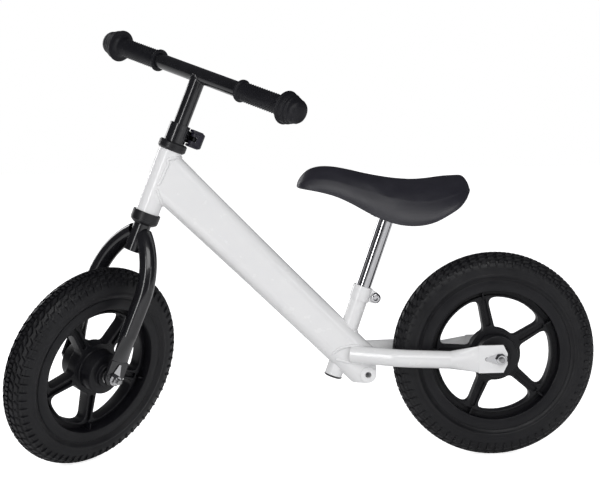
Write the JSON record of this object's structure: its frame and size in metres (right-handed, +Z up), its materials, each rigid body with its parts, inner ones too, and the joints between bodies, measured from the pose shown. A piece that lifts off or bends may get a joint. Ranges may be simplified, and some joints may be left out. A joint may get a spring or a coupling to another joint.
{
  "type": "balance bike",
  "caption": "Child's balance bike: oval-tube steel frame, straight fork, spoked wheels with foam tyres, quick-release handlebar and height-adjustable padded saddle.",
  "frame": {"origin": "on the floor, in the bike's middle plane, half way along its overall length", "axes": "the bike faces -X, the rider sits facing -X with the left hand towards -Y, and +Z is up; the stored pose is steered 45 degrees to the rider's left"},
  "size_m": [0.856, 0.3026, 0.6298],
  "materials": {
    "white_paint": "gloss",
    "black_paint": "gloss",
    "black_plastic": "satin",
    "lever_plastic": "satin",
    "foam_tyre": "matte",
    "grip_rubber": "matte",
    "saddle_cover": "satin",
    "chrome": "polished",
    "zinc_steel": "satin"
  },
  "bodies": {
    "frame": {"head_tube": "white_paint", "main_tube": "white_paint", "seat_tube": "white_paint", "seat_tube_plug": "black_plastic", "chainstay_left": "white_paint", "chainstay_right": "white_paint", "footrest_boss": "white_paint", "seat_clamp": "white_paint", "seat_clamp_bolt": "chrome", "seat_clamp_nut": "chrome", "headset_lower_cup": "black_plastic", "headset_upper_cup": "black_plastic", "rear_bearing_inner_rings": "zinc_steel", "rear_bearing_sleeve": "zinc_steel", "rear_hub_locknuts": "zinc_steel", "rear_axle": "zinc_steel", "rear_tab_washers": "chrome", "rear_axle_nuts": "chrome"},
    "fork": {"fork_steerer": "black_paint", "fork_blade_left": "black_paint", "fork_blade_right": "black_paint", "crown_race": "black_plastic", "headset_top_cap": "black_plastic", "headset_lower_balls": "chrome", "headset_upper_balls": "chrome", "clamp_collar": "black_paint", "clamp_skewer": "zinc_steel", "clamp_nut": "chrome", "clamp_lever_pin": "zinc_steel", "front_bearing_inner_rings": "zinc_steel", "front_bearing_sleeve": "zinc_steel", "front_hub_locknuts": "zinc_steel", "front_axle": "zinc_steel", "front_tab_washers": "chrome", "front_axle_nuts": "chrome"},
    "handlebar": {"stem_tube": "black_paint", "handlebar_tube": "black_paint", "grip_left": "grip_rubber", "grip_right": "grip_rubber"},
    "clamp_lever": {"clamp_lever": "lever_plastic"},
    "front_wheel": {"front_wheel": "black_plastic", "front_tyre": "foam_tyre", "front_bearing_outer_rings": "zinc_steel", "front_bearing_balls": "chrome"},
    "rear_wheel": {"rear_wheel": "black_plastic", "rear_tyre": "foam_tyre", "rear_bearing_outer_rings": "zinc_steel", "rear_bearing_balls": "chrome"},
    "seat": {"seatpost": "chrome", "saddle_bracket": "zinc_steel", "saddle_bolts": "zinc_steel", "saddle_base": "black_plastic", "saddle_cover": "saddle_cover"}
  },
  "joints": [
    {"name": "steering", "type": "hinge", "parent": "frame", "child": "fork", "pos_m": [-0.20113, 0, 0.4255], "axis": [0.3746, 0, 0.9272], "continuous": true},
    {"name": "handlebar_height", "type": "slide", "parent": "fork", "child": "handlebar", "axis": [0.3746, 0, 0.9272], "range_m": [-0.045, 0.03]},
    {"name": "clamp_lever_swing", "type": "hinge", "parent": "fork", "child": "clamp_lever", "pos_m": [-0.15538, 0.00389, 0.46984], "axis": [-0.3746, 0, -0.9272], "range_deg": [0, 125]},
    {"name": "front_wheel_spin", "type": "hinge", "parent": "fork", "child": "front_wheel", "pos_m": [-0.30892, 0.00495, 0.14549], "axis": [-0.6556, 0.7071, 0.2649], "continuous": true},
    {"name": "rear_wheel_spin", "type": "hinge", "parent": "frame", "child": "rear_wheel", "pos_m": [0.27799, 0, 0.15], "axis": [0, 1, 0], "continuous": true},
    {"name": "saddle_height", "type": "slide", "parent": "frame", "child": "seat", "axis": [0.3305, 0, 0.9438], "range_m": [-0.045, 0.03]}
  ]
}
